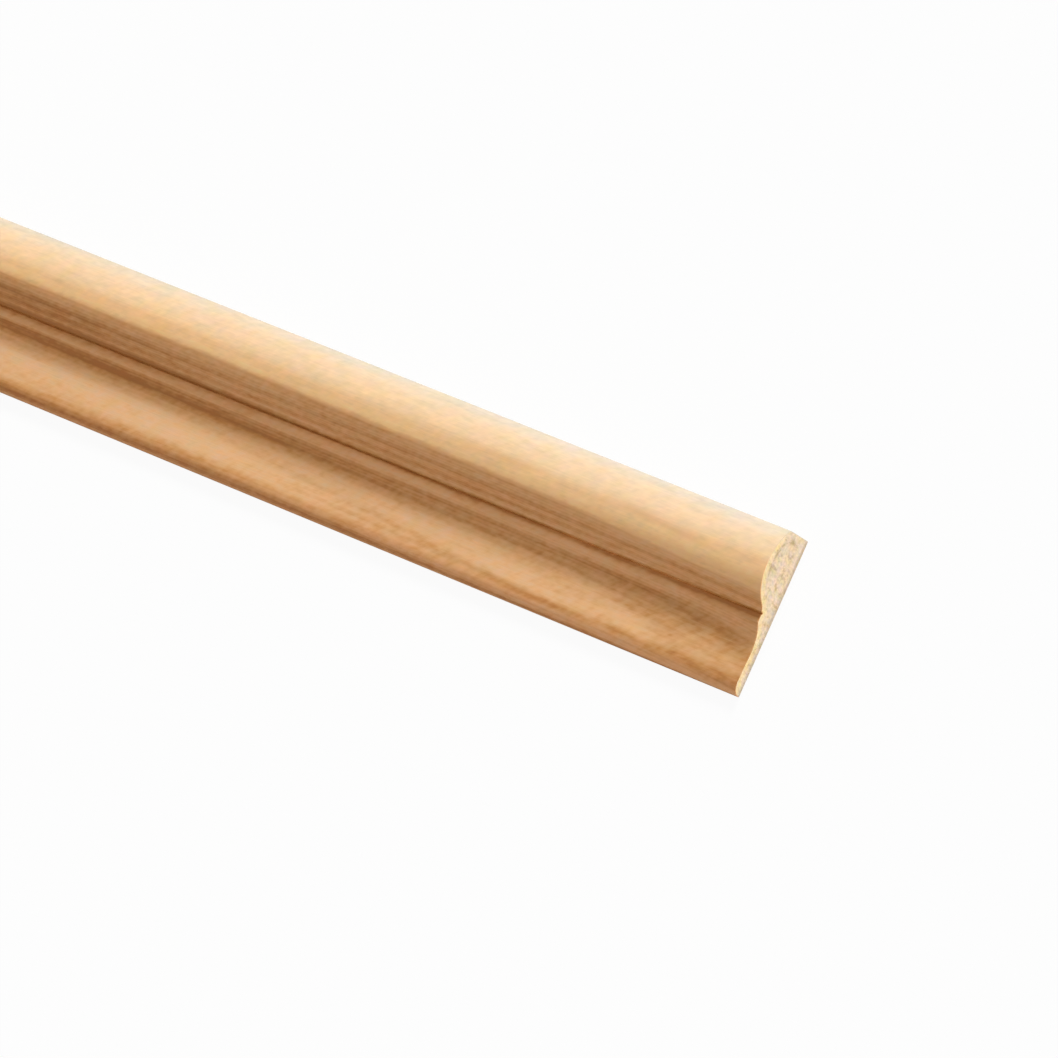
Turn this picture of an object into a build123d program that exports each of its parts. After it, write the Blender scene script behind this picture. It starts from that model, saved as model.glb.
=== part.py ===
from build123d import *
import os
from math import cos, hypot, radians, sin, sqrt

# Broken ogee moulding: one length of planed timber trim with a flat back.
# A bold rounded shoulder runs along the thick edge and hollows out at its foot, where
# a narrow quirk is cut. A level break follows, and from its arris a cove runs out
# into a thin lip with a rounded nose.
#
# X runs along the length, Y across the face towards the thick edge, and Z up
# out of the back. The origin is the middle of the back. Sizes are in millimetres.

# Stock
length = 2400.0
width = 34.0
thickness = 12.0

# Shoulder, a single round from the upright of the thick edge, and the hollow at its foot
edge_height = 8.5
shoulder_radius = 9.5
foot_radius = 3.0

# Quirk, the narrow groove that ends the hollow a little above the break
quirk_rise = 0.36
quirk_width = 0.6
quirk_depth = 0.4

# Break, the level flat that interrupts the ogee
break_height = 5.65
break_width = 1.7

# Cove, the hollow from the break down to the lip
cove_width = 5.75

# Lip, which rises a little towards its nose
lip_rise_degrees = 2.0
nose_radius = 2.8
nose_upright = 0.5

# Eased corners of the section
edge_arris_radius = 0.8
quirk_corner_radius = 0.1
break_arris_radius = 0.3
heel_arris_radius = 0.3

# Points of the section, across the face and up from the back
thick_side = width / 2
thin_side = -width / 2
thick_heel = (thick_side, 0)
thin_heel = (thin_side, 0)
edge_top = (thick_side, edge_height)

# The shoulder's centre lies where the round is tangent to the full thickness
# at its crown and passes through the top of the thick edge.
shoulder_centre_z = thickness - shoulder_radius
crown_y = thick_side - sqrt(shoulder_radius**2 - (edge_height - shoulder_centre_z) ** 2)
crown = (crown_y, thickness)

# The hollow is tangent to the shoulder and to the level of the break.
centre_rise = break_height + foot_radius - shoulder_centre_z
centre_run = -sqrt((shoulder_radius + foot_radius) ** 2 - centre_rise**2)
centre_distance = hypot(centre_run, centre_rise)
foot_centre_y = crown_y + centre_run
shoulder_foot = (
    crown_y + centre_run * shoulder_radius / centre_distance,
    shoulder_centre_z + centre_rise * shoulder_radius / centre_distance,
)
foot_direction = (-centre_rise / centre_distance, centre_run / centre_distance)

quirk_near_y = foot_centre_y + sqrt(foot_radius**2 - (foot_radius - quirk_rise) ** 2)
quirk_near = (quirk_near_y, break_height + quirk_rise)
quirk_floor = (quirk_near_y - quirk_width / 2, break_height - quirk_depth)
quirk_far = (quirk_near_y - quirk_width, break_height)
break_edge = (quirk_far[0] - break_width, break_height)

# The lip is tangent to the nose, and the cove is tangent to the lip.
nose_centre = (thin_side + nose_radius, nose_upright)
lip_rise = radians(lip_rise_degrees)
nose_start = (
    nose_centre[0] + nose_radius * sin(lip_rise),
    nose_centre[1] + nose_radius * cos(lip_rise),
)
lip_start_y = break_edge[0] - cove_width
lip_fall = (lip_start_y - nose_start[0]) * sin(lip_rise) / cos(lip_rise)
lip_start = (lip_start_y, nose_start[1] - lip_fall)
lip_direction = (cos(lip_rise), -sin(lip_rise))

# Moulding
with BuildPart() as ogee_moulding:
    with BuildSketch(Plane.YZ) as section:
        with BuildLine():
            Polyline(thin_heel, thick_heel, edge_top)
            ThreePointArc(edge_top, crown, shoulder_foot)
            TangentArc(shoulder_foot, quirk_near, tangent=foot_direction)
            Polyline(quirk_near, quirk_floor, quirk_far, break_edge)
            TangentArc(lip_start, break_edge, tangent=lip_direction)
            Line(lip_start, nose_start)
            CenterArc(nose_centre, nose_radius, 90 - lip_rise_degrees, 90 + lip_rise_degrees)
            Line((thin_side, nose_upright), thin_heel)
        make_face()
        fillet(section.vertices().sort_by_distance(edge_top)[0], edge_arris_radius)
        for corner in (quirk_near, quirk_floor, quirk_far):
            fillet(section.vertices().sort_by_distance(corner)[0], quirk_corner_radius)
        fillet(section.vertices().sort_by_distance(break_edge)[0], break_arris_radius)
        fillet(section.vertices().sort_by_distance(thick_heel)[0], heel_arris_radius)
        fillet(section.vertices().sort_by_distance(thin_heel)[0], heel_arris_radius)
    extrude(amount=length / 2, both=True)
ogee_moulding.part.label = "ogee_moulding"

os.makedirs("parts", exist_ok=True)
export_step(ogee_moulding.part, "parts/ogee_moulding.step")
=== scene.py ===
from math import cos, pi, radians, sin, sqrt

import bpy
import numpy as np
from bpy.props import FloatProperty, FloatVectorProperty, PointerProperty
from mathutils import Matrix, Vector


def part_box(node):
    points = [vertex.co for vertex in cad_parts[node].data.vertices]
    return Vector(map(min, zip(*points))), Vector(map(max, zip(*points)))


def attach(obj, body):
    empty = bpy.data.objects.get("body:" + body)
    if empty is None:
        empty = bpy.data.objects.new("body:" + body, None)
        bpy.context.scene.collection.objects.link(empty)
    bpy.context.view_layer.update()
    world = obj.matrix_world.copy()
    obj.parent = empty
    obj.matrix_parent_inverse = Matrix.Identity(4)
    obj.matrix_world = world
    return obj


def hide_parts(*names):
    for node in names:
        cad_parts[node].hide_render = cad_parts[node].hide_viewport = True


bl_info = {
    "name": "Broken Ogee Moulding",
    "version": (1, 0, 0),
    "blender": (4, 5, 0),
    "location": "View3D > Sidebar > Moulding",
    "description": "A length of planed timber moulding with sawn ends, on a plain studio floor",
    "category": "Add Mesh",
}

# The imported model, in metres: X along the length, Y across the face, Z out of the back
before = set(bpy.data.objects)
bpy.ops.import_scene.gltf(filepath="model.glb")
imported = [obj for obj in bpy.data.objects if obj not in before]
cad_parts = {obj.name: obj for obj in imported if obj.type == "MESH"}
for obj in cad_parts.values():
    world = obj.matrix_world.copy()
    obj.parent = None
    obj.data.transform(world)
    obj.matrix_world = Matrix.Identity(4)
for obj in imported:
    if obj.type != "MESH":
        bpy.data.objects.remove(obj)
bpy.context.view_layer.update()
NODE = "ogee_moulding"
LOWEST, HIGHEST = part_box(NODE)

MM = 0.001
# Where the near end and the thick edge lie, in millimetres
NEAR_END = round(HIGHEST[0] / MM, 3)
THICK_SIDE = round(HIGHEST[1] / MM, 3)
WHITE = (1.0, 1.0, 1.0)
# The piece's own map, through which its materials are drawn onto an image
MAP_NAME = "OFBake"
# Distance from the moulded outline, in millimetres, on the sawn ends
RIM_NAME = "rim"


def tint(red, green, blue):
    """A colour as it looks on screen, 0 to 255, turned into linear values by the standard curve."""

    def linear(channel):
        share = channel / 255
        if share <= 0.04045:
            return share / 12.92
        return ((share + 0.055) / 1.055) ** 2.4

    return linear(red), linear(green), linear(blue)


def length(name, description, default):
    """A length property in metres."""
    return FloatProperty(
        name=name, description=description, default=default, unit="LENGTH", precision=5, min=0.0
    )


def angle(name, description, degrees):
    """An angle property, whose default is given in degrees."""
    return FloatProperty(name=name, description=description, default=radians(degrees), subtype="ANGLE")


def strength(name, description, default):
    """A property for how strong a light is."""
    return FloatProperty(name=name, description=description, default=default, min=0.0)


def colour(name, description, default):
    """A colour property."""
    return FloatVectorProperty(
        name=name, description=description, default=default, subtype="COLOR", size=3, min=0.0, max=1.0
    )


class SectionSizes(bpy.types.PropertyGroup):
    """The moulding's section and how far its corners are eased."""

    run: length("Length", "From sawn end to sawn end", HIGHEST[0] - LOWEST[0])
    width: length("Width", "Across the face", HIGHEST[1] - LOWEST[1])
    thickness: length("Thickness", "From the back to the crown of the shoulder", HIGHEST[2])
    edge_height: length("Edge height", "Upright of the thick edge", 8.5 * MM)
    shoulder_radius: length("Shoulder radius", "Round along the thick edge", 9.5 * MM)
    foot_radius: length("Foot radius", "Hollow at the foot of the shoulder", 3.0 * MM)
    quirk_rise: length("Quirk rise", "Where the hollow ends, above the break", 0.36 * MM)
    quirk_width: length("Quirk width", "Narrow groove, across the face", 0.6 * MM)
    quirk_depth: length("Quirk depth", "Narrow groove, below the break", 0.4 * MM)
    break_height: length("Break height", "Level flat, above the back", 5.65 * MM)
    break_width: length("Break width", "Level flat, across the face", 1.7 * MM)
    cove_width: length("Cove width", "Hollow, across the face", 5.75 * MM)
    lip_rise: angle("Lip rise", "Slope up to the nose", 2.0)
    nose_radius: length("Nose radius", "Round of the thin edge", 2.8 * MM)
    nose_upright: length("Nose upright", "Flat under the nose", 0.5 * MM)
    edge_easing: length("Edge easing", "Reach of the worn top arris, each way", 0.4 * MM)
    break_easing: length("Break easing", "Reach of the break's worn arris, each way", 0.22 * MM)
    quirk_easing: length("Quirk easing", "Reach of the quirk's worn corners, each way", 0.09 * MM)
    heel_easing: length("Heel easing", "Reach of the back's worn arrises", 0.32 * MM)
    end_easing: length("End easing", "Fuzzy arris round each sawn end", 0.13 * MM)
    saw_relief: length("Saw relief", "Depth of the saw marks in the ends", 0.07 * MM)


class TimberFinish(bpy.types.PropertyGroup):
    """Colours of the planed faces and the sawn ends."""

    # The edge's cool grey is partly a painted sheen along the thick edge's arris.
    sap_edge_and_sheen: colour("Sapwood at the edge", "Coolest wood, along the thick edge", tint(210, 197, 176))
    sap_shoulder: colour("Sapwood of the shoulder", "Pinkish cream on the round", tint(229, 198, 160))
    sap_crown: colour("Sapwood of the crown", "Pale cream on top", tint(241, 203, 157))
    sap_gold: colour("Golden sapwood", "Darker wood past the crown", tint(241, 194, 141))
    # The cream and tan are partly painted light, as bright as a colour goes where the shoulder turns
    # from the key lamp.
    sap_cream_and_light: colour("Cream sapwood", "Warm wood beside the heartwood", tint(255, 206, 146))
    sap_tan_and_light: colour("Tan sapwood", "Deeper wood low on the shoulder", tint(255, 197, 134))
    heart_pale: colour("Pale heartwood", "Between two growth lines", tint(243, 186, 131))
    heart_light: colour("Light heartwood", "Start of a ring", tint(237, 175, 116))
    heart_tan: colour("Tan heartwood", "Middle of a ring", tint(221, 158, 97))
    heart_deep: colour("Deep heartwood", "End of a ring", tint(202, 137, 72))
    heart_line: colour("Growth line", "Darkest line of a ring", tint(178, 112, 50))
    end_wood: colour("End grain", "Sawn ends", tint(236, 211, 177))
    end_rim: colour("End grain rim", "Warm band under the moulded face", tint(250, 222, 166))
    end_back: colour("End grain back", "Greyer wood along the back", tint(199, 180, 153))
    end_line: colour("End grain line", "Broken line inside the warm band", tint(184, 160, 118))
    end_pore: colour("End grain pores", "Open vessels", tint(188, 156, 124))


class StudioSettings(bpy.types.PropertyGroup):
    """Floor, lamps and camera."""

    key_strength: strength("Key strength", "Soft lamp over the thick edge", 2.62)
    key_elevation: angle("Key elevation", "Height of the lamp over the floor", 31.5)
    key_softness: angle("Key softness", "How wide the lamp looks from the moulding", 13.0)
    end_strength: strength("End strength", "Soft lamp before the near end", 1.2)
    end_elevation: angle("End elevation", "Height of the lamp over the floor", 8.0)
    end_softness: angle("End softness", "How wide the lamp looks from the moulding", 10.0)
    fill: strength("Fill", "Light from all round", 0.43)
    floor_size: length("Floor size", "Side of the square floor", 60.0)
    floor_colour: colour("Floor colour", "Under the lamps' light", (0.82, 0.82, 0.82))
    floor_glow: FloatProperty(
        name="Floor glow",
        description="How far the camera sees the floor as plain white",
        default=0.93,
        min=0.0,
        max=1.0,
        subtype="FACTOR",
    )
    azimuth: angle("Azimuth", "0 looks along +Y and 90 along -X", 83.08)
    elevation: angle("Elevation", "Camera's height over the floor", 59.50)
    roll: angle("Roll", "Turn of the camera about its view", -59.89)
    distance: length("Distance", "From the camera to the point it looks at", 1.4332)
    lens: FloatProperty(
        name="Lens", description="Focal length in millimetres", default=241.56, unit="CAMERA", min=1.0
    )
    aim: FloatVectorProperty(
        name="Aim",
        description="The point looked at, from the middle of the near end's foot",
        default=(-0.05644, -0.00203, 0.006),
        unit="LENGTH",
        precision=5,
    )


# Shader maths


class Value:
    """A shader socket on which arithmetic can be written. Each operator adds one Math node."""

    def __init__(self, graph, socket):
        self.graph = graph
        self.socket = socket

    def __add__(self, other):
        return self.graph.math("ADD", self, other)

    def __sub__(self, other):
        return self.graph.math("SUBTRACT", self, other)

    def __mul__(self, other):
        return self.graph.math("MULTIPLY", self, other)

    def __truediv__(self, other):
        return self.graph.math("DIVIDE", self, other)

    def __rsub__(self, other):
        return self.graph.math("SUBTRACT", other, self)

    def __rtruediv__(self, other):
        return self.graph.math("DIVIDE", other, self)

    __radd__ = __add__
    __rmul__ = __mul__


class Graph:
    """The node tree of one material or world."""

    def __init__(self, owner):
        owner.use_nodes = True
        self.tree = owner.node_tree
        self.tree.nodes.clear()

    def node(self, kind, settings=None, inputs=None, output=0):
        """Adds a node, applies its settings, then fills its sockets with values or links."""
        made = self.tree.nodes.new(kind)
        for name, setting in (settings or {}).items():
            if name == "stops":
                self.set_stops(made.color_ramp, setting)
            else:
                setattr(made, name, setting)
        for name, given in (inputs or {}).items():
            if isinstance(given, Value):
                self.tree.links.new(given.socket, made.inputs[name])
            else:
                made.inputs[name].default_value = given
        return Value(self, made.outputs[output]) if len(made.outputs) else made

    def set_stops(self, ramp, stops):
        """Gives a colour ramp its stops, as pairs of place and colour."""
        while len(ramp.elements) < len(stops):
            ramp.elements.new(0.5)
        for element, (place, shade) in zip(ramp.elements, stops, strict=True):
            element.position = place
            element.color = (*shade, 1.0)

    def math(self, operation, first, second=0.0, clamp=False):
        """A Math node."""
        return self.node(
            "ShaderNodeMath", {"operation": operation, "use_clamp": clamp}, {0: first, 1: second}
        )

    def vector(self, operation, first, second):
        """A Vector Math node."""
        return self.node("ShaderNodeVectorMath", {"operation": operation}, {0: first, 1: second})

    def mix(self, factor, first, second):
        """A Mix node for colours. Sockets 6 and 7 are its two colours, and output 2 is the result."""
        first = first if isinstance(first, Value) else (*first, 1.0)
        second = second if isinstance(second, Value) else (*second, 1.0)
        inputs = {0: factor, 6: first, 7: second}
        return self.node("ShaderNodeMix", {"data_type": "RGBA"}, inputs, output=2)

    def step(self, value, start, stop):
        """Rises smoothly from 0 at start to 1 at stop."""
        settings = {"interpolation_type": "SMOOTHSTEP"}
        return self.node(
            "ShaderNodeMapRange", settings, {"Value": value, "From Min": start, "From Max": stop}
        )

    def axes(self, place):
        """The X, Y and Z of a place."""
        made = self.node("ShaderNodeSeparateXYZ", {}, {"Vector": place}).socket.node
        return [Value(self, output) for output in made.outputs]

    def ramp(self, value, stops):
        """A colour that runs through the given stops as the value goes from 0 to 1."""
        return self.node("ShaderNodeValToRGB", {"stops": stops}, {"Fac": value})

    def noise(self, place, pitch, detail=2.0, roughness=0.5):
        """Cloudy noise from 0 to 1, about 0.5, whose clouds measure pitch along X, Y and Z."""
        scaled = self.vector("DIVIDE", place, pitch)
        inputs = {"Vector": scaled, "Scale": 1.0, "Detail": detail, "Roughness": roughness}
        return self.node("ShaderNodeTexNoise", {"noise_dimensions": "3D"}, inputs)

    def turned(self, place, turn):
        """A place turned about the origin by angles in radians, so that a pattern lies aslant."""
        return self.node("ShaderNodeMapping", {}, {"Vector": place, "Rotation": turn})

    def cast(self, colour, shade, blush, glow):
        """A colour times the shade, with more red by the blush and less blue by the glow."""
        channels = {"X": shade + blush, "Y": shade, "Z": shade - glow}
        return self.vector("MULTIPLY", colour, self.node("ShaderNodeCombineXYZ", {}, channels))

    def surface(self, colour, roughness, relief, strength, depth):
        """Ends a material. A relief of 1 is as high as the depth, in metres."""
        bump = {"Height": relief, "Strength": strength, "Distance": depth}
        normal = self.node("ShaderNodeBump", {}, bump)
        inputs = {"Base Color": colour, "Roughness": roughness, "Normal": normal}
        shader = self.node("ShaderNodeBsdfPrincipled", {}, inputs)
        self.node("ShaderNodeOutputMaterial", {}, {"Surface": shader})


# Growth rings of the heartwood: the height of each dark line out from the heart of the tree and its
# half width, in millimetres, and how much it darkens the wood, where 0 is pale and 1 is brown
GROWTH_LINES = (
    (-4.0, 1.2, 0.45),
    (-2.15, 0.75, 0.67),
    (-0.3, 0.2, 0.05),
    (0.7, 0.5, 0.31),
    (1.75, 0.65, 0.47),
    (5.1, 0.85, 0.31),
    (7.15, 0.6, 0.32),
    (8.95, 0.35, 0.05),
)
# The wood between the lines, at the height 0, and how much darker it is a millimetre further out
PALE_WOOD = 0.195
DARKENING = 0.02
# Slope of the rings across the face, and how near the thick edge they curl over and how sharply
RING_SLOPE = 0.11
CURL_REACH = 11.0
CURL = 0.022
# Height of the rings' long wave and of their run-out at the near end, and the lengths that each
# takes to turn by a radian and to fade, in millimetres
SWELL = 1.275
SWELL_LENGTH = 210.0
RUN_OUT = 1.6
RUN_OUT_LENGTH = 25.0
# Height out from the heart of the tree at which the sapwood starts
SAP_HEIGHT = 9.4

# Distances from the thick edge, in millimetres: the dark line that wanders about the quirk, the
# straight line of painted shade beside it in the quirk's groove, the painted light on the hollow's
# foot, and the painted shade along the lip's edge, where the nose starts to round
WANDERING_LINE = 17.24
QUIRK_SHADE_LINE = 17.6
HOLLOW_FOOT_LIGHT = 17.07
LIP_SHADE_LINE = 31.25
# Distance between the ripples that the cutters leave, in millimetres
RIPPLE_PITCH = 1.7

# Soft marks: distance from the near end and from the thick edge, half length and half width, all in
# millimetres, drop per millimetre of length, and amount. In the heartwood, the amount darkens.
HEART_MARKS = (
    (190.0, 14.6, 35.0, 1.9, 0.0, 0.33),
    (165.0, 16.6, 45.0, 0.5, 0.0, 0.28),
    (165.0, 21.0, 75.0, 1.0, 0.014, 0.52),
    (175.0, 22.6, 60.0, 1.0, 0.012, 0.20),
    (170.0, 25.3, 60.0, 1.6, 0.0, -0.12),
    (95.0, 27.9, 40.0, 0.8, 0.068, 0.20),
    (22.0, 16.2, 24.0, 0.9, 0.0, -0.20),
    (18.0, 29.0, 22.0, 2.0, 0.0, -0.16),
    (20.0, 20.9, 16.0, 0.9, 0.0, 0.20),
    (76.0, 30.3, 40.0, 0.6, 0.024, 0.20),
    (40.0, 31.3, 16.0, 0.45, 0.0, 0.16),
    (165.0, 32.3, 40.0, 0.7, 0.0, 0.16),
)
# On the crown, the amount turns the wood towards sapwood, or towards tan heartwood where below 0.
SAP_MARKS = (
    (64.0, 7.9, 7.0, 0.9, -0.05, -0.25),
    (32.0, 7.7, 6.0, 1.0, 0.0, -0.25),
    (20.0, 8.9, 9.0, 0.7, 0.07, -0.25),
    (16.0, 12.2, 22.0, 1.2, 0.0, 0.80),
)
# Redder streaks, down the cove and along the lip's edge
RED_MARKS = (
    (175.0, 21.2, 75.0, 1.6, 0.016, 1.0),
    (185.0, 32.7, 45.0, 1.0, 0.0, 0.8),
)


def millimetres(graph):
    """The place on the object, in millimetres."""
    metres = graph.node("ShaderNodeTexCoord", output="Object")
    return graph.vector("MULTIPLY", metres, (1000.0, 1000.0, 1000.0))


def bell(graph, value, middle, half_width):
    """The bell curve of a value about its middle."""
    off = (value - middle) / half_width
    return graph.math("EXPONENT", 0.0 - off * off)


def ring_height(graph, place):
    """Height out from the heart of the tree.

    It is the height above the back, less the distance from the thick edge times the slope, and more
    by the square of how far inside the curl's reach a place is. Along the length the rings rise and
    fall in one long wave, and run out faster close to the near end. Two cloudy noises make them
    wander.
    """
    x, y, z = graph.axes(place)
    along = x - NEAR_END
    across = THICK_SIDE - y
    curl = graph.math("MAXIMUM", CURL_REACH - across, 0.0)
    swell = graph.math("SINE", along / SWELL_LENGTH) * SWELL
    run_out = graph.math("EXPONENT", along / RUN_OUT_LENGTH) * RUN_OUT
    wander = (graph.noise(place, (150.0, 14.0, 14.0)) - 0.5) * 0.4
    shiver = (graph.noise(place, (34.0, 5.0, 5.0)) - 0.5) * 0.3
    return z - across * RING_SLOPE + curl * curl * CURL + swell + run_out + wander + shiver


def ring_tone(graph, height):
    """Darkness of the heartwood at a height: pale wood, darker outwards, and the bell of each line."""
    tone = height * DARKENING + PALE_WOOD
    for middle, half_width, amount in GROWTH_LINES:
        tone = tone + bell(graph, height, middle, half_width) * amount
    return tone


def soft_marks(graph, place, marks):
    """The sum of soft spots, each the bell curve of the distance from its middle."""
    x, y, _ = graph.axes(place)
    total = 0.0
    for from_end, across, half_length, half_width, drop, amount in marks:
        along = x - (NEAR_END - from_end)
        off = (THICK_SIDE - y - along * drop - across) / half_width
        reach = along / half_length
        total = graph.math("EXPONENT", 0.0 - (reach * reach + off * off)) * amount + total
    return total


def planed_timber(finish):
    """Planed timber: pale sapwood over tan heartwood with growth lines, fibres and soft marks."""
    material = bpy.data.materials.new("planed_timber")
    graph = Graph(material)
    place = millimetres(graph)
    x, y, z = graph.axes(place)
    along = x - NEAR_END
    across = THICK_SIDE - y
    height = ring_height(graph, place)

    streaks = graph.noise(place, (70.0, 1.3, 1.3), detail=3.0) - 0.5
    fibres = graph.noise(place, (5.0, 0.3, 0.3), detail=2.0, roughness=0.6) - 0.5
    clouds = graph.noise(place, (30.0, 5.0, 5.0), detail=2.0) - 0.5
    figure = graph.noise(place, (8.0, 2.2, 2.2), detail=2.0) - 0.5
    mottle = graph.noise(place, (2.6, 1.0, 1.0), detail=1.0) - 0.5
    # Short flecks and blotches of colour lie aslant to the grain.
    aslant = graph.turned(place, (0.0, 0.0, -0.6))
    flecks = graph.noise(aslant, (2.4, 0.9, 0.9), detail=1.0) - 0.5
    blush = graph.noise(aslant, (4.4, 2.6, 2.6), detail=1.0) - 0.5
    glow = graph.noise(aslant, (3.8, 2.1, 2.1), detail=1.0) - 0.5
    lines = graph.math("SINE", height * 12.0 + streaks * 9.0)

    # A dark line wanders about the quirk, over a fainter straight line of painted shade in the quirk's
    # groove. Another line of painted shade follows the lip's edge, where the nose starts to round.
    wander = graph.math("SINE", (along + 94.0) / 75.0) * 0.5
    quirk_grain_and_shade = bell(graph, across - wander, WANDERING_LINE, 0.6) * 0.68
    painted_quirk_shade = bell(graph, across, QUIRK_SHADE_LINE, 0.55) * 0.35
    quirk_grain_and_shade = graph.math("MAXIMUM", quirk_grain_and_shade, painted_quirk_shade)
    on_face = graph.step(z, 3.0, 4.5)
    painted_lip_shade = bell(graph, across, LIP_SHADE_LINE, 1.0) * graph.step(z, 0.6, 1.6) * 0.3

    tone = ring_tone(graph, height) + lines * 0.06 + streaks * 0.25 + fibres * 0.3 + clouds * 0.15
    tone = tone + figure * 0.4 + mottle * 0.5 + flecks * 0.55
    tone = tone + soft_marks(graph, place, HEART_MARKS) + quirk_grain_and_shade * on_face + painted_lip_shade
    heart = graph.ramp(
        tone,
        [
            (0.0, finish.heart_pale),
            (0.25, finish.heart_light),
            (0.5, finish.heart_tan),
            (0.75, finish.heart_deep),
            (1.0, finish.heart_line),
        ],
    )
    red = soft_marks(graph, place, RED_MARKS)
    heart = graph.vector("MULTIPLY", heart, graph.mix(red, WHITE, (1.0, 0.95, 0.81)))

    # Sapwood, across the shoulder, a little warmer in places along the length. The edge's cool grey is
    # partly a painted sheen, and the cream and tan low on the shoulder are partly painted light, as
    # bright as a colour goes where the shoulder turns from the key lamp
    sap = graph.ramp(
        (across + clouds * 2.0 + figure * 1.2) / 12.0,
        [
            (0.0, finish.sap_edge_and_sheen),
            (0.25, finish.sap_shoulder),
            (0.567, finish.sap_crown),
            (0.7, finish.sap_gold),
            (0.84, finish.sap_cream_and_light),
            (1.0, finish.sap_tan_and_light),
        ],
    )
    warm = 0.5 - graph.math("SINE", (along + 100.0) / 50.0) * 0.5
    sap = graph.vector("MULTIPLY", sap, graph.mix(warm, WHITE, (1.0, 0.975, 0.93)))

    # The border between the woods drifts, and is softer close to the end. The thick edge is sapwood.
    drift = graph.math("SINE", (along + 100.0) / 200.0) * 0.5
    softness = 1.0 + graph.math("EXPONENT", along / 30.0) * 2.0
    above = height - drift + figure * 0.5 + flecks * 0.3 + streaks * 0.3 - SAP_HEIGHT
    border = graph.step(above / softness, -0.35, 0.3)
    border = graph.math("MAXIMUM", border, 1.0 - graph.step(across, 0.5, 3.0))
    share = graph.math("ADD", border, soft_marks(graph, place, SAP_MARKS), clamp=True)
    base = graph.mix(share, heart, sap)

    # Both woods keep the fibres, and drift between pinkish and greenish, yellowish and bluish casts.
    shade = 1.0 + fibres * 0.2 + streaks * 0.1 + mottle * 0.15 + figure * 0.15 + flecks * 0.16
    base = graph.cast(base, shade, blush * 0.17, glow * 0.32)
    # Painted light lifts the foot of the hollow, the quirk's near wall, against the groove's own shade.
    painted_light_at_foot = bell(graph, across, HOLLOW_FOOT_LIGHT, 0.22) * on_face
    base = graph.vector("MULTIPLY", base, graph.mix(painted_light_at_foot, WHITE, (1.06, 1.15, 1.10)))
    # Painted light: the lit lip is made cooler than the shaded band, and the nose's round warmer again,
    # like warm light bounced into the shade.
    painted_bounce_cast = graph.mix(graph.step(across, 20.0, 27.0), WHITE, (0.885, 0.975, 1.08))
    painted_bounce_cast = graph.mix(graph.step(across, 30.2, 33.2), painted_bounce_cast, (1.03, 0.98, 0.96))
    base = graph.vector("MINIMUM", graph.vector("MULTIPLY", base, painted_bounce_cast), WHITE)

    # Cutter ripples cross the grain, and the fibres stand a little proud.
    ripple = graph.math("SINE", x * (2 * pi / RIPPLE_PITCH))
    relief = fibres + streaks * 0.5 + ripple * 0.02
    roughness = 0.55 + fibres * 0.3 + tone * 0.1
    graph.surface(base, roughness, relief, strength=0.35, depth=0.06 * MM)
    return material


def sawn_timber(finish):
    """Sawn end grain: pale, with rows of open pores, and a warm band under the moulded face."""
    material = bpy.data.materials.new("sawn_timber")
    graph = Graph(material)
    place = millimetres(graph)
    _, y, z = graph.axes(place)
    across = THICK_SIDE - y
    rim = graph.node("ShaderNodeAttribute", {"attribute_name": RIM_NAME}, output="Fac")
    rows = graph.turned(place, (0.11, 0.0, 0.0))

    clouds = graph.noise(place, (9.0, 2.6, 2.6), detail=2.0) - 0.5
    fuzz = graph.noise(place, (3.0, 0.6, 1.0), detail=2.0) - 0.5
    blush = graph.noise(rows, (6.0, 1.6, 2.6), detail=1.0) - 0.5
    glow = graph.noise(rows, (6.0, 1.3, 2.1), detail=1.0) - 0.5
    pores = graph.step(graph.noise(rows, (6.0, 1.4, 2.2), detail=2.0), 0.52, 0.68)
    ring = ring_tone(graph, ring_height(graph, place)) - 0.4

    # A warm band follows the moulded face, with a broken grey line inside it on the shoulder.
    band = (1.0 - graph.step(rim + clouds, 1.0, 1.9)) * graph.step(across, 1.0, 3.0)
    shoulder = 1.0 - graph.step(across, 9.0, 13.0)
    line = bell(graph, rim + clouds, 1.9, 0.45) * shoulder * graph.step(fuzz + glow, -0.1, 0.1)
    along_back = 1.0 - graph.step(z + clouds, 0.4, 1.6)

    base = graph.mix(band * 0.8, finish.end_wood, finish.end_rim)
    base = graph.mix(along_back * 0.9, base, finish.end_back)
    base = graph.mix(line * 0.8, base, finish.end_line)
    base = graph.mix(pores * graph.step(rim, 0.5, 1.2) * 0.55, base, finish.end_pore)
    shade = 1.0 + fuzz * 0.65 + clouds * 0.2 - ring * 0.08
    base = graph.cast(base, shade, blush * 0.3, glow * 0.8)
    base = graph.vector("MINIMUM", base, WHITE)
    graph.surface(base, 0.86 + fuzz * 0.2, fuzz - pores * 0.6, strength=0.5, depth=0.12 * MM)
    return material


# The section, as arrays

# How far in from the nose and the thick edge the grid of an end is bent to follow them
BEND_REACH = 7 * MM
# Half the length over which the outline is averaged away from its corners, and how many times its
# own easing a corner is felt over
OPEN_REACH = 0.03 * MM
CORNER_REACH = 2.5
# How finely a side is searched for its turns, the distance between places on a straight stretch and
# close to a side's end, how far from the end that is felt, and the turn that adds one place more
SEARCH_STEPS = 6000
PLACE_PITCH = 1.0 * MM
SIDE_END_PITCH = 0.12 * MM
SIDE_END_REACH = 0.4 * MM
PLACE_TURN = radians(6)
# How many places the outline has across the face or the back, and up the nose or the thick edge
ACROSS = 96
UP = 12
# How many strips the length is cut into on the map, and how many steps each has
STRIPS = 8
STRIP_STEPS = 28
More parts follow.
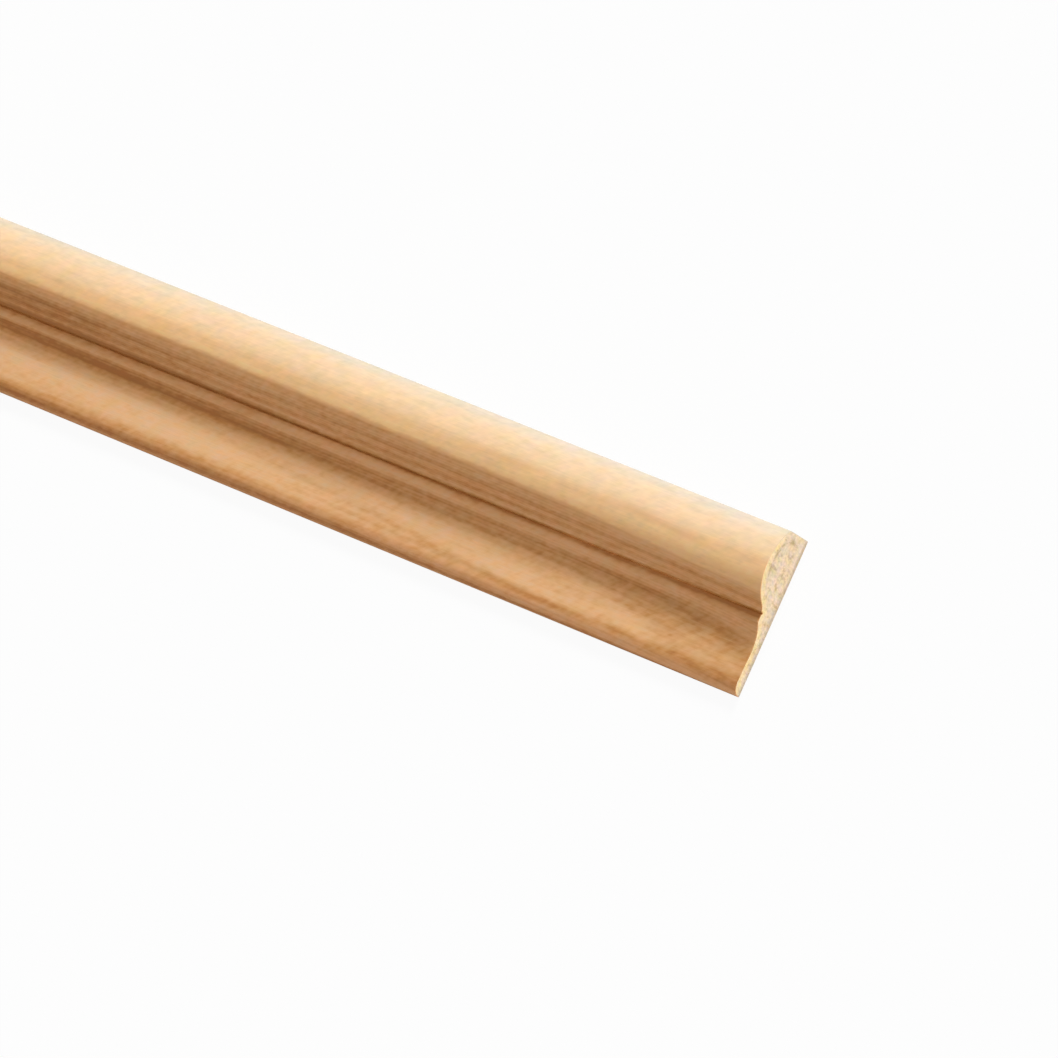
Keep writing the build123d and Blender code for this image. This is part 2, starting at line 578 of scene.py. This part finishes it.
# Pitches of the waves in the arrises' wear, the ragged ends and the saw marks, in metres
WEAR_PITCHES = (0.31, 0.127, 0.053, 0.021)
RAGGED_PITCHES = (1.1 * MM, 2.7 * MM, 0.6 * MM)
RIDGE_PITCHES = (1.6 * MM, 2.3 * MM, 0.9 * MM)
RIDGE_TILT = radians(70)
# Seeds of those waves, to which each end and each direction adds its own number
WEAR_SEED = 11
RAGGED_SEED = 23
SAW_SEED = 31


def arc(centre, radius, start, stop, pitch):
    """Points of a circle: the centre plus the radius times cosine and sine, from start to stop."""
    count = max(2, int(abs(stop - start) * radius / pitch) + 1)
    angles = np.linspace(start, stop, count)
    return np.array(centre) + radius * np.column_stack([np.cos(angles), np.sin(angles)])


def straight(start, stop, pitch):
    """Points spaced evenly from start to stop."""
    start, stop = np.array(start), np.array(stop)
    count = max(2, int(np.linalg.norm(stop - start) / pitch) + 1)
    return start + (stop - start) * np.linspace(0, 1, count)[:, None]


def section_sides(sizes, pitch=0.02 * MM):
    """The section's four sides as finely spaced points, across the face and up from the back.

    The back is a line. The nose is a short line and an arc. The face is the lip's line, tangent to
    the nose, the cove's arc, tangent to the lip, the break's line, the quirk's two slopes, and the
    hollow's arc, tangent to the shoulder's arc, which is tangent to the full thickness. The edge is
    a line. Each side starts where the one before it ends.
    """
    thick_side, thin_side = sizes.width / 2, -sizes.width / 2
    shoulder_z = sizes.thickness - sizes.shoulder_radius
    crown_y = thick_side - sqrt(sizes.shoulder_radius**2 - (sizes.edge_height - shoulder_z) ** 2)

    # The two centres of the shoulder and the hollow are as far apart as their radii together.
    hollow_z = sizes.break_height + sizes.foot_radius
    centre_rise = hollow_z - shoulder_z
    centre_run = -sqrt((sizes.shoulder_radius + sizes.foot_radius) ** 2 - centre_rise**2)
    hollow_y = crown_y + centre_run
    meeting = np.arctan2(centre_rise, centre_run)
    top = np.arctan2(sizes.edge_height - shoulder_z, thick_side - crown_y)
    shoulder = arc((crown_y, shoulder_z), sizes.shoulder_radius, meeting, top, pitch)

    quirk_y = hollow_y + sqrt(sizes.foot_radius**2 - (sizes.foot_radius - sizes.quirk_rise) ** 2)
    quirk_near = (quirk_y, sizes.break_height + sizes.quirk_rise)
    quirk_floor = (quirk_y - sizes.quirk_width / 2, sizes.break_height - sizes.quirk_depth)
    quirk_far = (quirk_y - sizes.quirk_width, sizes.break_height)
    foot = np.arctan2(quirk_near[1] - hollow_z, quirk_near[0] - hollow_y)
    hollow = arc((hollow_y, hollow_z), sizes.foot_radius, foot, meeting - pi, pitch)
    break_edge = (quirk_far[0] - sizes.break_width, sizes.break_height)

    nose_centre = (thin_side + sizes.nose_radius, sizes.nose_upright)
    nose = arc(nose_centre, sizes.nose_radius, pi, pi / 2 - sizes.lip_rise, pitch)
    along = np.array([cos(sizes.lip_rise), -sin(sizes.lip_rise)])
    across = np.array([sin(sizes.lip_rise), cos(sizes.lip_rise)])
    lip_reach = (break_edge[0] - sizes.cove_width - nose[-1, 0]) / along[0]
    lip_start = nose[-1] + along * lip_reach

    # The cove's centre stands over the lip's end, at the distance that reaches the break's edge.
    chord = np.array(break_edge) - lip_start
    cove_radius = (chord @ chord) / (2 * chord @ across)
    cove_centre = lip_start + across * cove_radius
    low = np.arctan2(*(lip_start - cove_centre)[::-1])
    high = np.arctan2(*(np.array(break_edge) - cove_centre)[::-1])
    cove = arc(cove_centre, cove_radius, low, high, pitch)

    back = straight((thick_side, 0), (thin_side, 0), pitch)
    upright = straight((thin_side, 0), (thin_side, sizes.nose_upright), pitch)
    lip = straight(nose[-1], lip_start, pitch)
    level = straight(break_edge, quirk_far, pitch)
    far_slope = straight(quirk_far, quirk_floor, pitch)
    near_slope = straight(quirk_floor, quirk_near, pitch)
    edge = straight((thick_side, sizes.edge_height), (thick_side, 0), pitch)
    parts = [lip, cove, level, far_slope, near_slope, hollow, shoulder]
    face = np.vstack([parts[0]] + [part[1:] for part in parts[1:]])
    corners = {
        "break": break_edge,
        "quirk_far": quirk_far,
        "quirk_floor": quirk_floor,
        "quirk_near": quirk_near,
    }
    return [back, np.vstack([upright, nose[1:]]), face, edge], corners


class Loop:
    """The section's closed outline, read by the distance along it from the back's thick corner."""

    def __init__(self, sizes):
        sides, corners = section_sides(sizes)
        points = np.vstack([side[:-1] for side in sides] + [sides[0][:1]])
        steps = np.linalg.norm(np.diff(points, axis=0), axis=1)
        self.s = np.concatenate([[0], np.cumsum(steps)])
        self.points = points
        self.total = self.s[-1]
        middles = (points[1:] + points[:-1]) / 2
        self.sums = np.vstack([[0, 0], np.cumsum(middles * steps[:, None], axis=0)])
        starts = np.cumsum([0] + [len(side) - 1 for side in sides])
        self.side_ends = self.s[starts]
        self.corner = {name: self.nearest(place) for name, place in corners.items()}
        self.corner["heel_thick"], self.corner["heel_thin"], _, self.corner["edge"] = self.side_ends[:4]
        self.easing = {
            "break": sizes.break_easing,
            "quirk_far": sizes.quirk_easing,
            "quirk_floor": sizes.quirk_easing,
            "quirk_near": sizes.quirk_easing,
            "heel_thick": sizes.heel_easing,
            "heel_thin": sizes.heel_easing,
            "edge": sizes.edge_easing,
        }

    def nearest(self, place):
        """How far along the outline the given point lies."""
        return self.s[np.argmin(np.linalg.norm(self.points - np.array(place), axis=1))]

    def gap(self, s, name):
        """Distance along the outline from s to a named corner, the short way round."""
        apart = np.abs(s - self.corner[name])
        return np.minimum(apart, self.total - apart)

    def reach(self, s, wear):
        """Half the length over which the outline is averaged at s, which rounds its corners.

        It is small on the open stretches, and grows to each corner's easing close to that corner.
        """
        reach = np.full(np.broadcast(s, wear).shape, OPEN_REACH)
        for name, easing in self.easing.items():
            near = np.exp(-((self.gap(s, name) / (CORNER_REACH * easing)) ** 4))
            reach = np.maximum(reach, near * easing * wear)
        return reach

    def integral(self, s):
        """The sum of the outline's points up to s, carried on past its end for another turn."""
        turns = np.floor(s / self.total)
        rest = s - turns * self.total
        whole = turns[..., None] * self.sums[-1]
        parts = [np.interp(rest, self.s, self.sums[:, axis]) for axis in (0, 1)]
        return whole + np.stack(parts, axis=-1)

    def eased(self, s, wear=1.0):
        """The outline's mean over the stretch from s less its reach to s plus its reach."""
        reach = self.reach(s, wear)
        shares = self.integral(s + reach) - self.integral(s - reach)
        return shares / (2 * reach)[..., None]

    def spread(self, side, count):
        """Places along one side, closer together at its ends and where the eased outline turns."""
        first, last = self.side_ends[side], self.side_ends[side + 1]
        s = np.linspace(first, last, SEARCH_STEPS)
        tangent = np.gradient(self.eased(s), s, axis=0)
        turn = np.abs(np.gradient(np.unwrap(np.arctan2(tangent[:, 1], tangent[:, 0]))))
        step = np.diff(s, prepend=s[0])
        close = np.exp(-((np.minimum(s - first, last - s) / SIDE_END_REACH) ** 2))
        amount = np.cumsum(step / PLACE_PITCH + turn / PLACE_TURN + close * step / SIDE_END_PITCH)
        amount = (amount - amount[0]) / (amount[-1] - amount[0])
        return np.interp(np.linspace(0, 1, count), amount, s)

    def under(self, face):
        """Places along the back, straight under the face's given ones and drawn out under the nose.

        The back starts at the thick edge, so a place's distance along it is its distance from there.
        The last stretch is moved out by the square of how far along it a place is.
        """
        y = np.interp(face, self.s, self.points[:, 0])[::-1]
        stretch = np.clip(1 - (y - y[-1]) / BEND_REACH, 0, 1)
        thin_side = self.points[:, 0].min()
        return y[0] - y + stretch**2 * (y[-1] - thin_side)


def waves(x, pitches, seed):
    """Smooth seeded noise, about -1 to 1: the mean of sines of the given pitches at random phases."""
    phases = np.random.default_rng(seed).uniform(0, 2 * pi, len(pitches))
    sines = (np.sin(2 * pi * x / pitch + phase) for pitch, phase in zip(pitches, phases))
    return sum(sines) / len(pitches)


def patch(back, nose, face, edge):
    """A grid inside four sides, on uprights from the back's points to the face's points over them.

    Near the thick edge and the nose, the grid is bent to follow those sides: each upright is moved
    by how far the side lies off the straight line between its ends, times the square of how far
    inside the bend's reach it stands. Back and face run from the thick edge to the thin one, and
    nose and edge run up from the back.
    """
    rise = np.linspace(0, 1, len(nose))[None, :, None]
    from_edge = (face[0, 0] - face[:, 0])[:, None, None]
    from_nose = (face[:, 0] - face[-1, 0])[:, None, None]
    upright = (1 - rise) * back[:, None] + rise * face[:, None]
    bend_edge = edge[None] - upright[:1]
    bend_nose = nose[None] - upright[-1:]
    near_edge = np.clip(1 - from_edge / BEND_REACH, 0, 1) ** 2
    near_nose = np.clip(1 - from_nose / BEND_REACH, 0, 1) ** 2
    return upright + near_edge * bend_edge + near_nose * bend_nose


def saw_marks(place, sizes, seed):
    """Depth of the sawn end below its highest point, from slanting ridges and a little unevenness."""
    y, z = place[..., 0], place[..., 1]
    slant = y * cos(RIDGE_TILT) + z * sin(RIDGE_TILT)
    ridges = waves(slant, RIDGE_PITCHES, seed)
    rough_across = waves(y, (0.9 * MM, 1.7 * MM, 3.1 * MM), seed + 1)
    rough_up = waves(z, (0.8 * MM, 1.9 * MM), seed + 2)
    return sizes.saw_relief * (1 - 0.6 * ridges - 0.4 * (rough_across * rough_up)) / 2


def stations(half):
    """Places along X: evenly spaced in each strip, and closer together near the ends."""
    even = np.linspace(-half, half, STRIPS * STRIP_STEPS + 1)
    close = np.array([0.0, 0.1, 0.25, 0.5, 0.9, 1.5, 2.4, 3.8, 5.6]) * MM
    return np.unique(np.concatenate([even, half - close, close - half]).round(9))


def moulding_skin(sizes):
    """The moulding's skin and its two end patches: the eased section carried along X.

    The wear of the arrises is a smooth seeded wave of X. The last loop at each end is moved inwards
    by a ragged arris's width, and the patches are pressed in by the depth of the saw marks.
    """
    loop = Loop(sizes)
    face = loop.spread(2, ACROSS)
    sides = [loop.under(face), loop.spread(1, UP), face, loop.spread(3, UP)]
    s = np.concatenate([side[:-1] for side in sides])
    half = sizes.run / 2
    x = stations(half)
    wear = 1 + 0.25 * waves(x, WEAR_PITCHES, WEAR_SEED)
    section = loop.eased(s[None, :], wear[:, None])
    for end in (0, -1):
        run = np.roll(section[end], -1, axis=0) - np.roll(section[end], 1, axis=0)
        run /= np.linalg.norm(run, axis=1)[:, None]
        inward = np.column_stack([run[:, 1], -run[:, 0]])
        ragged = 1 + 0.45 * waves(s, RAGGED_PITCHES, RAGGED_SEED + end)
        section[end] += inward * (sizes.end_easing * ragged)[:, None]
    skin = np.dstack([np.broadcast_to(x[:, None], section.shape[:2]), section])

    caps = []
    corner = np.cumsum([0, ACROSS - 1, UP - 1, ACROSS - 1, UP - 1])
    for end, way in ((0, -1), (-1, 1)):
        ring = np.vstack([section[end], section[end][:1]])
        back, nose, top, edge = (ring[a : b + 1] for a, b in zip(corner[:-1], corner[1:]))
        cap = patch(back, nose, top[::-1], edge[::-1])
        skin[end, :, 0] = way * (half - saw_marks(section[end], sizes, SAW_SEED + end))
        caps.append(np.dstack([way * (half - saw_marks(cap, sizes, SAW_SEED + end)), cap]))
    return loop, s, skin, caps


def skin_numbers(around, count):
    """The numbers of the skin's vertices, in rows along X, and the quads between them."""
    grid = np.arange(count * around).reshape(count, around)
    ahead = np.roll(grid, -1, axis=1)
    quads = np.stack([grid[:-1], grid[1:], ahead[1:], ahead[:-1]], axis=-1)
    return grid, quads


def cap_numbers(ring, total):
    """The numbers of a patch's vertices. Its border takes the skin's own, so that the mesh closes."""
    numbers = np.full((ACROSS, UP), -1)
    thin_heel = ACROSS - 1
    nose_top = thin_heel + UP - 1
    edge_top = nose_top + ACROSS - 1
    numbers[:, 0] = ring[: thin_heel + 1]
    numbers[-1, :] = ring[thin_heel : nose_top + 1]
    numbers[:, -1] = ring[nose_top : edge_top + 1][::-1]
    numbers[0, :] = np.append(ring[edge_top:], ring[0])[::-1]
    inside = numbers < 0
    numbers[inside] = total + np.arange(inside.sum())
    return numbers, inside


def strip_map(loop, s, x):
    """Places on the map for the skin's quads: the strips of the length, in two columns.

    Along a strip, a place is X's share of the strip. Up it, it is the distance along the outline,
    where the back counts for less than the rest, because it is seen least. The sizes of a strip and
    the gap round it are shares of the map's side.
    """
    column, row, gap = 0.5, 0.2109, 0.003
    back_weight = 0.45
    around = np.append(s, loop.total)
    weight = np.where(around[1:] <= loop.side_ends[1] + 1e-9, back_weight, 1.0)
    rise = np.concatenate([[0], np.cumsum(np.diff(around) * weight)])
    rise = gap + rise / rise[-1] * (row - 2 * gap)
    pitch = (x[-1] - x[0]) / STRIPS
    strip = np.floor(((x[1:] + x[:-1]) / 2 - x[0]) / pitch)
    left = (strip % 2) * column + gap
    foot = (strip // 2) * row
    places = []
    for station, upper in ((x[:-1], 0), (x[1:], 0), (x[1:], 1), (x[:-1], 1)):
        share = (station - x[0]) / pitch - strip
        u = np.repeat((left + share * (column - 2 * gap))[:, None], len(s), axis=1)
        v = foot[:, None] + rise[None, upper : len(s) + upper]
        places.append(np.stack([u, v], axis=-1))
    return np.stack(places, axis=2)


def cap_map(cap, index):
    """Places on the map for a patch: its own shape, a little lower, in the row above the strips."""
    scale, squash = 0.013 / MM, 0.93
    left, foot = 0.5 * index + 0.018, 0.846
    u = left + (cap[..., 1] - LOWEST[1]) * scale
    v = foot + cap[..., 2] * scale * squash
    return np.stack([u, v], axis=-1)


class MOULDING_OT_run_length(bpy.types.Operator):
    """Makes the moulding, one piece with sawn ends"""

    bl_idname = "moulding.run_length"
    bl_label = "Run Moulding"

    def execute(self, context):
        loop, s, skin, caps = moulding_skin(context.scene.moulding_section)
        count, around = skin.shape[:2]
        grid, quads = skin_numbers(around, count)
        vertices, faces = [skin.reshape(-1, 3)], [quads.reshape(-1, 4)]
        places = [strip_map(loop, s, skin[:, 0, 0]).reshape(-1, 2)]
        total = count * around
        for index, (end, cap) in enumerate(zip((0, -1), caps)):
            numbers, inside = cap_numbers(grid[end], total)
            total += inside.sum()
            vertices.append(cap[inside])
            spots = cap_map(cap, index)
            corners, marks = self.quad_corners(numbers), self.quad_corners(spots)
            if end == -1:
                corners.reverse()
                marks.reverse()
            faces.append(np.stack(corners, axis=-1).reshape(-1, 4))
            places.append(np.stack(marks, axis=2).reshape(-1, 2))
        vertices, faces, places = np.vstack(vertices), np.vstack(faces), np.vstack(places)

        mesh = bpy.data.meshes.new("moulding")
        mesh.from_pydata(vertices.tolist(), [], faces.tolist())
        mesh.polygons.foreach_set("use_smooth", np.ones(len(faces), dtype=bool))
        sawn = np.arange(len(faces)) >= quads.size // 4
        mesh.polygons.foreach_set("material_index", sawn.astype(np.int32))
        bake = mesh.uv_layers.new(name=MAP_NAME)
        bake.uv.foreach_set("vector", places.astype(np.float32).ravel())
        rim = mesh.attributes.new(RIM_NAME, "FLOAT", "POINT")
        rim.data.foreach_set("value", self.rim_distance(vertices, skin, loop) / MM)
        mesh.set_sharp_from_angle(angle=radians(40))
        piece = bpy.data.objects.new("moulding", mesh)
        context.scene.collection.objects.link(piece)
        finish = context.scene.moulding_finish
        mesh.materials.append(planed_timber(finish))
        mesh.materials.append(sawn_timber(finish))
        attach(piece, "root")
        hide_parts(NODE)
        return {"FINISHED"}

    def quad_corners(self, grid):
        """The four corners of a grid's quads, in order round each quad."""
        return [grid[:-1, :-1], grid[1:, :-1], grid[1:, 1:], grid[:-1, 1:]]

    def rim_distance(self, vertices, skin, loop):
        """Distance from each vertex to the nearest point of the nose, face and edge.

        It is nothing on the skin itself, and only the patches' inner vertices are measured, to every
        fourth point of the outline.
        """
        distance = np.zeros(len(vertices))
        inner = skin.shape[0] * skin.shape[1]
        front = loop.points[loop.s >= loop.side_ends[1]][::4]
        apart = vertices[inner:, None, 1:] - front[None]
        distance[inner:] = np.sqrt((apart**2).sum(axis=2)).min(axis=1)
        return distance


class MOULDING_OT_studio(bpy.types.Operator):
    """Lays the pale floor and sets the lamps and the camera"""

    bl_idname = "moulding.studio"
    bl_label = "Set Studio"

    def execute(self, context):
        scene = context.scene
        studio = scene.moulding_studio
        self.lay_floor(scene, studio)
        key, end = studio.key_elevation, studio.end_elevation
        over_edge = (0.0, cos(key), sin(key))
        before_end = (cos(end), 0.0, sin(end))
        self.hang_lamp(scene, "key", studio.key_strength, studio.key_softness, over_edge)
        self.hang_lamp(scene, "end", studio.end_strength, studio.end_softness, before_end)
        self.fill_world(scene, studio)
        self.place_camera(scene, studio)
        scene.view_settings.view_transform = "Standard"
        return {"FINISHED"}

    def lay_floor(self, scene, studio):
        """A white square under the moulding, which still takes its shadow."""
        half = studio.floor_size / 2
        corners = [(-half, -half, 0), (half, -half, 0), (half, half, 0), (-half, half, 0)]
        mesh = bpy.data.meshes.new("floor")
        mesh.from_pydata(corners, [], [(0, 1, 2, 3)])
        floor = bpy.data.objects.new("floor", mesh)
        scene.collection.objects.link(floor)
        material = bpy.data.materials.new("studio_floor")
        graph = Graph(material)
        lit = graph.node("ShaderNodeBsdfDiffuse", {}, {"Color": (*studio.floor_colour, 1.0)})
        white = graph.node("ShaderNodeEmission", {}, {"Color": (*WHITE, 1.0), "Strength": 1.0})
        path = graph.node("ShaderNodeLightPath", output="Is Camera Ray")
        factor = path * studio.floor_glow
        surface = graph.node("ShaderNodeMixShader", {}, {0: factor, 1: lit, 2: white})
        graph.node("ShaderNodeOutputMaterial", {}, {"Surface": surface})
        mesh.materials.append(material)

    def hang_lamp(self, scene, name, strength, softness, towards):
        """A soft lamp in the given direction, so far off that its light falls evenly."""
        light = bpy.data.lights.new(name, "SUN")
        light.energy = strength
        light.angle = softness
        lamp = bpy.data.objects.new(name, light)
        lamp.rotation_mode = "QUATERNION"
        lamp.rotation_quaternion = Vector(towards).to_track_quat("Z", "Y")
        scene.collection.objects.link(lamp)

    def fill_world(self, scene, studio):
        """Even light from all round, and white where the camera or a reflection sees it."""
        world = bpy.data.worlds.new("studio")
        scene.world = world
        graph = Graph(world)
        seen = graph.node("ShaderNodeLightPath", output="Is Camera Ray")
        glossy = graph.node("ShaderNodeLightPath", output="Is Glossy Ray")
        through = graph.node("ShaderNodeLightPath", output="Is Transmission Ray")
        shows = graph.math("ADD", seen + glossy, through, clamp=True)
        strength = studio.fill + shows * (1.0 - studio.fill)
        sky = graph.node("ShaderNodeBackground", {}, {"Color": (*WHITE, 1.0), "Strength": strength})
        graph.node("ShaderNodeOutputWorld", {}, {"Surface": sky})

    def place_camera(self, scene, studio):
        """Looks at a point on the moulding's face a little short of its near end."""
        a, e, r = studio.azimuth, studio.elevation, studio.roll
        forward = Vector((-sin(a) * cos(e), cos(a) * cos(e), -sin(e)))
        level = forward.cross(Vector((0, 0, 1))).normalized()
        above = level.cross(forward)
        right = level * cos(r) + above * sin(r)
        up = above * cos(r) - level * sin(r)
        aim = Vector((HIGHEST[0], 0, 0)) + Vector(studio.aim)
        data = bpy.data.cameras.new("camera")
        data.lens = studio.lens
        data.sensor_width = 36.0
        data.clip_start = 0.05
        data.clip_end = 200.0
        camera = bpy.data.objects.new("camera", data)
        turn = Matrix((right, up, -forward)).transposed()
        camera.matrix_world = Matrix.Translation(aim - forward * studio.distance) @ turn.to_4x4()
        scene.collection.objects.link(camera)
        scene.camera = camera


class MOULDING_PT_sidebar(bpy.types.Panel):
    """Lists the moulding's operators"""

    bl_label = "Moulding"
    bl_idname = "MOULDING_PT_sidebar"
    bl_space_type = "VIEW_3D"
    bl_region_type = "UI"
    bl_category = "Moulding"

    def draw(self, context):
        for operator in OPERATORS:
            self.layout.operator(operator.bl_idname)


GROUPS = (SectionSizes, TimberFinish, StudioSettings)
OPERATORS = (MOULDING_OT_run_length, MOULDING_OT_studio)
CLASSES = (*GROUPS, *OPERATORS, MOULDING_PT_sidebar)


def register():
    for each in CLASSES:
        bpy.utils.register_class(each)
    bpy.types.Scene.moulding_section = PointerProperty(type=SectionSizes)
    bpy.types.Scene.moulding_finish = PointerProperty(type=TimberFinish)
    bpy.types.Scene.moulding_studio = PointerProperty(type=StudioSettings)


def unregister():
    del bpy.types.Scene.moulding_studio
    del bpy.types.Scene.moulding_finish
    del bpy.types.Scene.moulding_section
    for each in reversed(CLASSES):
        bpy.utils.unregister_class(each)


def main():
    register()
    bpy.ops.moulding.run_length()
    bpy.ops.moulding.studio()


if __name__ == "__main__":
    main()
